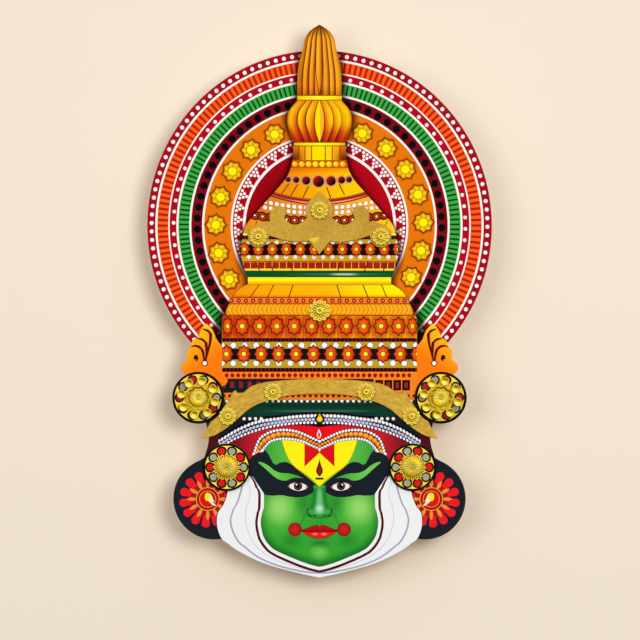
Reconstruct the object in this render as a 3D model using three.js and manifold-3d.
// A layered wall mask of a kathakali dancer's head: printed boards, gilded overlays and moulded studs.
// Millimetres, +Z up. The picture faces -Y, and the wall is at Y = 0 behind it.
// Everything is drawn flat, x to the right, y up and z towards the viewer. The whole group is then stood up.
import * as THREE from "three";
import { mergeVertices } from "three/addons/utils/BufferGeometryUtils.js";
import Module from "manifold-3d";

const wasm = await Module();
wasm.setup();

// Sheets
const FRONT_HEIGHT = 611; // from the finial's tip to the chin
const HALO_WIDTH = 382;
const HALO_HEIGHT = 388;
const THICK_SHEET = 6; // the halo and the front board
const THIN_SHEET = 3; // ear discs and gilded plates
const GLUE_LINE = 0.3; // between any two pieces that lie on each other
const OUTLINE_STEP = 5; // between two points of a sampled curve

// Hanging hole, cut in the halo board and closed in front by the front board
const HANGING_HOLE_DIAMETER = 16;
const HANGING_HOLE_RISE = 40; // above the middle of the halo

// Discs
const UPPER_DISC_DIAMETER = 57.4;
const LOWER_DISC_DIAMETER = 52.4;
const DISC_CLEARANCE = 0.8; // between an upper ear disc and the edge of the brow plate

// Moulded pieces
const STUD_DIAMETER = 20;
const STUD_HEIGHT = 5;
const STUD_PETALS = 12;
const CROWN_STUD_DIAMETER = 24.5;
const ROSETTE_DIAMETER = 29.6;
const ROSETTE_HEIGHT = 8;
const ROSETTE_PETALS = 16;
const BOWL_PETALS = 12;
const CUP_DIAMETER = 10;
const CUP_HEIGHT = 6;
const CUP_GAP = 4.9; // between two cups on their ring
const CUP_EDGE_MARGIN = 4.7; // from a cup to the disc's rim
const CUP_TURN = 32; // degrees from the x axis to the first cup
const ROSETTE_CLEARANCE = 0.4; // between the cups and the rosette inside their ring

// Levels above the wall
const HALO_FACE = THICK_SHEET;
const FRONT_BACK = HALO_FACE + GLUE_LINE;
const FRONT_FACE = FRONT_BACK + THICK_SHEET;
const OVERLAY_BACK = FRONT_FACE + GLUE_LINE;
const OVERLAY_FACE = OVERLAY_BACK + THIN_SHEET;
const STUD_BACK = OVERLAY_FACE + GLUE_LINE;

// Outlines of the right half, in proportion. "smooth" is a curve through its points, "straight" joins them
// and "round" is an arc.
const FINIAL = { smooth: [[0, 221.9], [10.7, 214.7], [16.4, 206], [18.2, 196], [23.7, 172], [24.5, 142.4]] };
const FINIAL_RING = { straight: [[24.5, 142.4], [25, 137.6]] };
const BULB = { smooth: [[25, 137.6], [33.6, 126.5], [35.7, 115], [33.2, 102.5], [29, 91.6]] };
const NECK = { straight: [[29, 91.6], [29, 87.8], [29.5, 74.5]] };
const DOME = {
  smooth: [[29.5, 74.5], [32.5, 61], [38.5, 50], [51, 35.5], [66, 18.5], [79, 3.5], [84.3, -9], [86.5, -25],
    [85.5, -39], [80, -56.5]],
};
const COLLAR = { straight: [[80, -56.5], [79.5, -64.6]] };
const SHOULDER = { smooth: [[79.5, -64.6], [91.5, -73], [100, -87], [107.4, -102]] };
const CROWN_SIDE = { straight: [[107.4, -102], [107.8, -132.5]] };
const SCROLL_INNER = { smooth: [[107.8, -132.5], [113.5, -126], [117.5, -116], [125, -108.2]] };
const SCROLL_CREST = { smooth: [[125, -108.2], [131, -114.5], [134, -123.5]] };
const SCROLL_CURLS = [
  { smooth: [[134, -123.5], [140.5, -127.5], [142.6, -134]] },
  { smooth: [[142.6, -134], [146.7, -140], [145.7, -148]] },
  { smooth: [[145.7, -148], [151.5, -152.5], [152.6, -159.5], [147, -165]] },
];
const TURBAN_SIDE = {
  smooth: [[147, -165], [136, -178], [130, -200], [125, -219], [122.2, -236.5], [127, -256]],
};
const JAW = { smooth: [[108.9, -345.7], [88, -360.5], [60, -373.5], [28, -382.7], [0, -388.9]] };
// The black ear medallion is an arc: its middle, its radius, and the degrees it runs from and to.
const MEDALLION = { round: [[116.3, -301.5], 45, 76, -99.5] };

const CREST = [
  { smooth: [[0, 37.6], [6, 31.5], [12.8, 25.5], [15.3, 17.1], [13.2, 9.5]] },
  { smooth: [[13.2, 9.5], [20, 2.8], [30, 0.8], [38.8, 7.5]] },
  { smooth: [[38.8, 7.5], [37, 17], [45.5, 22.4], [54.3, 15.5], [54.8, 4.5]] },
  { smooth: [[54.8, 4.5], [66, 2.6], [76.5, -3], [79.3, -12.7], [74.5, -22.3], [65.5, -24.4], [57.5, -18.5],
    [55.4, -11.2]] },
  { smooth: [[55.4, -11.2], [40, -16], [24, -18.3], [11.8, -17.2]] },
  { smooth: [[11.8, -17.2], [6.5, -23.5], [0, -32]] },
];
const BROW = [
  { smooth: [[0, -169], [30, -170.2], [60, -173], [75, -177.5], [84.5, -184.8]] },
  { smooth: [[84.5, -184.8], [89.5, -185.5], [94, -181], [98, -189]] },
  { smooth: [[98, -189], [106, -201], [117, -212], [124, -224], [130.5, -235.5]] },
  { smooth: [[130.5, -235.5], [117, -232], [104, -224.5], [90.5, -213.5], [76, -201.5], [58, -193.5], [30, -187.2],
    [0, -185.5]] },
];

// The outlines and places keep their proportions, and are scaled to the front board's height.
const DRAWN = FRONT_HEIGHT / (FINIAL.smooth[0][1] - JAW.smooth.at(-1)[1]);
const drawn = ([x, y]) => new THREE.Vector2(x, y).multiplyScalar(DRAWN);

// Places on the front board, from the middle of the halo. Each one off the middle line has a left twin.
const UPPER_DISC = drawn([133.7, -190]);
const LOWER_DISC = drawn([102.3, -266.7]);
const BROW_END_STUD = drawn([101.3, -210.7]);
const BROW_TOP_STUD = drawn([51.3, -184]);
const CREST_END_STUD = drawn([67.5, -12.7]);
const CREST_STUD = drawn([0, 16.2]);
const CROWN_STUD = drawn([0, -94.4]);

// A circle's points from one angle to another, both included.
function arcPoints([x, y], radius, fromDegrees, toDegrees) {
  const [from, to] = [fromDegrees, toDegrees].map(THREE.MathUtils.degToRad);
  const steps = Math.ceil((Math.abs(to - from) * radius * DRAWN) / OUTLINE_STEP);
  const at = (i) => from + ((to - from) * i) / steps;
  return Array.from({ length: steps + 1 }, (_, i) =>
    drawn([x + radius * Math.cos(at(i)), y + radius * Math.sin(at(i))]));
}

function smoothPoints(places) {
  const curve = new THREE.SplineCurve(places.map(drawn));
  return curve.getSpacedPoints(Math.max(3, Math.round(curve.getLength() / OUTLINE_STEP)));
}

// Samples the right half of an outline, top to bottom. Each stretch starts where the one before it ends.
function traced(stretches) {
  const points = [];
  for (const { smooth, straight, round } of stretches) {
    const run = round ? arcPoints(...round) : smooth ? smoothPoints(smooth) : straight.map(drawn);
    points.push(...(points.length ? run.slice(1) : run));
  }
  return points;
}

// A closed shape from its right half, whose first and last points lie on the middle line.
function mirrored(half) {
  const left = half.slice(1, -1).reverse().map((p) => new THREE.Vector2(-p.x, p.y));
  return new THREE.Shape([...half, ...left]);
}

function sheet(shape, thickness, curveSegments = 24) {
  return new THREE.ExtrudeGeometry(shape, { depth: thickness, bevelEnabled: false, curveSegments });
}

// A closed geometry as a manifold-3d solid, and back.
function solidOf(geometry) {
  const bare = geometry.clone();
  bare.deleteAttribute("normal");
  bare.deleteAttribute("uv");
  const merged = mergeVertices(bare, 1e-4);
  return new wasm.Manifold(new wasm.Mesh({
    numProp: 3,
    vertProperties: merged.attributes.position.array,
    triVerts: new Uint32Array(merged.index.array),
  }));
}

function geometryOf(solid) {
  const { vertProperties, triVerts } = solid.getMesh();
  const geometry = new THREE.BufferGeometry();
  geometry.setAttribute("position", new THREE.BufferAttribute(vertProperties, 3));
  geometry.setIndex(new THREE.BufferAttribute(triVerts, 1));
  geometry.computeVertexNormals();
  return geometry;
}

// A turned form whose radius swells into petals. profile lists [radius, height, petal depth], bottom to top,
// and starts and ends on the axis.
function petalled(profile, petals, facetsPerPetal) {
  const points = profile.map(([radius, height]) => new THREE.Vector2(radius, height));
  const segments = petals * facetsPerPetal;
  const geometry = new THREE.LatheGeometry(points, segments);
  const position = geometry.attributes.position;
  for (let i = 0; i < position.count; i++) {
    const depth = profile[i % profile.length][2];
    const turn = (2 * Math.PI * Math.floor(i / profile.length)) / segments;
    const swell = 1 - (depth * (1 - Math.cos(petals * turn))) / 2;
    position.setXYZ(i, position.getX(i) * swell, position.getY(i), position.getZ(i) * swell);
  }
  return geometry.rotateX(Math.PI / 2);
}

// A flower stud: a ring of petals round a raised heart.
function studGeometry(diameter, height) {
  const r = diameter / 2;
  return petalled([[0, 0, 0], [r, 0, 0.1], [r, height * 0.3, 0.1], [r * 0.78, height * 0.7, 0.06],
    [r * 0.46, height * 0.5, 0], [r * 0.26, height, 0], [0, height, 0]], STUD_PETALS, 3);
}

// A flat rosette with a scalloped rim and a raised middle.
function rosetteGeometry(diameter, height) {
  const r = diameter / 2;
  return petalled([[0, 0, 0], [r, 0, 0.08], [r, height * 0.22, 0.08], [r * 0.8, height * 0.5, 0.05],
    [r * 0.68, height * 0.82, 0], [r * 0.2, height, 0], [0, height, 0]], ROSETTE_PETALS, 3);
}

// A scalloped bowl with a round daisy standing in it.
function bowlGeometry(diameter, height) {
  const r = diameter / 2;
  return petalled([[0, 0, 0], [r * 0.85, 0, 0.08], [r, height * 0.4, 0.08], [r * 0.9, height * 0.4, 0.06],
    [r * 0.72, height * 0.18, 0], [r * 0.5, height * 0.2, 0], [r * 0.62, height * 0.85, 0],
    [r * 0.56, height, 0], [0, height * 0.88, 0]], BOWL_PETALS, 3);
}

// A small open cup on a narrow foot.
function cupGeometry(diameter, height) {
  const r = diameter / 2;
  const facets = 9;
  return petalled([[0, 0, 0], [r * 0.6, 0, 0], [r, height * 0.7, 0], [r, height, 0], [r * 0.85, height, 0],
    [r * 0.3, height * 0.4, 0], [0, height * 0.4, 0]], facets, 1);
}

const paint = (color, roughness, metalness = 0) =>
  new THREE.MeshStandardMaterial({ color, roughness, metalness });
const PRINT_ORANGE = paint(0xd9601a, 0.35);
const PRINT_YELLOW = paint(0xe0a01c, 0.35);
const PRINT_DISC = paint(0xe6cf3c, 0.35);
const GILT = paint(0xc4a03a, 0.5, 0.35);
const STUD_GOLD = paint(0xe2c542, 0.22, 0.1);

const mask = new THREE.Group();

function add(name, geometry, material, x = 0, y = 0, z = 0) {
  const mesh = new THREE.Mesh(geometry, material);
  mesh.name = name;
  mesh.position.set(x, y, z);
  mask.add(mesh);
}

// Adds a piece at a place on the right, and its twin on the left.
function addPair(name, geometry, material, place, z) {
  add(`${name}_left`, geometry, material, -place.x, place.y, z);
  add(`${name}_right`, geometry, material, place.x, place.y, z);
}

function addHalo() {
  const shape = new THREE.Shape();
  shape.absellipse(0, 0, HALO_WIDTH / 2, HALO_HEIGHT / 2, 0, 2 * Math.PI);
  const hole = new THREE.Path();
  hole.absarc(0, HANGING_HOLE_RISE, HANGING_HOLE_DIAMETER / 2, 0, 2 * Math.PI, true);
  shape.holes.push(hole);
  add("halo_board", sheet(shape, THICK_SHEET, 48), PRINT_ORANGE);
}

function addFrontBoard() {
  const outline = traced([FINIAL, FINIAL_RING, BULB, NECK, DOME, COLLAR, SHOULDER, CROWN_SIDE, SCROLL_INNER,
    SCROLL_CREST, ...SCROLL_CURLS, TURBAN_SIDE, MEDALLION, JAW]);
  add("front_board", sheet(mirrored(outline), THICK_SHEET), PRINT_YELLOW, 0, 0, FRONT_BACK);
}

function addPlates() {
  add("crest_plate", sheet(mirrored(traced(CREST)), THIN_SHEET), GILT, 0, 0, OVERLAY_BACK);
  // The brow plate runs up to the upper ear discs and is cut round to clear them.
  const clear = new THREE.CylinderGeometry(1, 1, 3 * THIN_SHEET, 64).rotateX(Math.PI / 2);
  const radius = UPPER_DISC_DIAMETER / 2 + DISC_CLEARANCE;
  clear.scale(radius, radius, 1);
  const cutters = [1, -1].map((side) =>
    solidOf(clear.clone().translate(side * UPPER_DISC.x, UPPER_DISC.y, THIN_SHEET / 2)));
  const uncut = solidOf(sheet(mirrored(traced(BROW)), THIN_SHEET));
  const plate = cutters.reduce((rest, cutter) => rest.subtract(cutter), uncut);
  add("brow_plate", geometryOf(plate), GILT, 0, 0, OVERLAY_BACK);
}

function addDiscs() {
  const disc = (diameter) => {
    const shape = new THREE.Shape();
    shape.absarc(0, 0, diameter / 2, 0, 2 * Math.PI);
    return sheet(shape, THIN_SHEET, 20);
  };
  addPair("upper_ear_disc", disc(UPPER_DISC_DIAMETER), PRINT_DISC, UPPER_DISC, OVERLAY_BACK);
  addPair("lower_ear_disc", disc(LOWER_DISC_DIAMETER), PRINT_DISC, LOWER_DISC, OVERLAY_BACK);
}

function addCups() {
  const ring = UPPER_DISC_DIAMETER / 2 - CUP_EDGE_MARGIN - CUP_DIAMETER / 2;
  const count = Math.floor((2 * Math.PI * ring) / (CUP_DIAMETER + CUP_GAP));
  for (let i = 0; i < count; i++) {
    const turn = THREE.MathUtils.degToRad(CUP_TURN + (360 * i) / count);
    for (const [side, sign] of [["left", -1], ["right", 1]]) {
      add(`cup_${side}_${i + 1}`, cupGeometry(CUP_DIAMETER, CUP_HEIGHT), STUD_GOLD,
        sign * UPPER_DISC.x + ring * Math.cos(turn), UPPER_DISC.y + ring * Math.sin(turn), STUD_BACK);
    }
  }
  const inner = 2 * (ring - CUP_DIAMETER / 2 - ROSETTE_CLEARANCE);
  addPair("upper_rosette", bowlGeometry(inner, ROSETTE_HEIGHT), STUD_GOLD, UPPER_DISC, STUD_BACK);
}

function addStuds() {
  const stud = studGeometry(STUD_DIAMETER, STUD_HEIGHT);
  const rosette = rosetteGeometry(ROSETTE_DIAMETER, ROSETTE_HEIGHT);
  addPair("lower_rosette", rosette, STUD_GOLD, LOWER_DISC, STUD_BACK);
  addPair("brow_end_stud", stud, STUD_GOLD, BROW_END_STUD, STUD_BACK);
  addPair("brow_top_stud", stud, STUD_GOLD, BROW_TOP_STUD, STUD_BACK);
  addPair("crest_end_stud", stud, STUD_GOLD, CREST_END_STUD, STUD_BACK);
  add("crest_stud", stud, STUD_GOLD, CREST_STUD.x, CREST_STUD.y, STUD_BACK);
  add("crown_stud", studGeometry(CROWN_STUD_DIAMETER, STUD_HEIGHT), STUD_GOLD, CROWN_STUD.x, CROWN_STUD.y,
    OVERLAY_BACK);
}

addHalo();
addFrontBoard();
addPlates();
addDiscs();
addCups();
addStuds();

// Stood up: drawn y becomes +Z, and the drawn depth comes towards the viewer, along -Y.
mask.rotation.x = Math.PI / 2;

const part = new THREE.Group();
part.add(mask);
export default part;
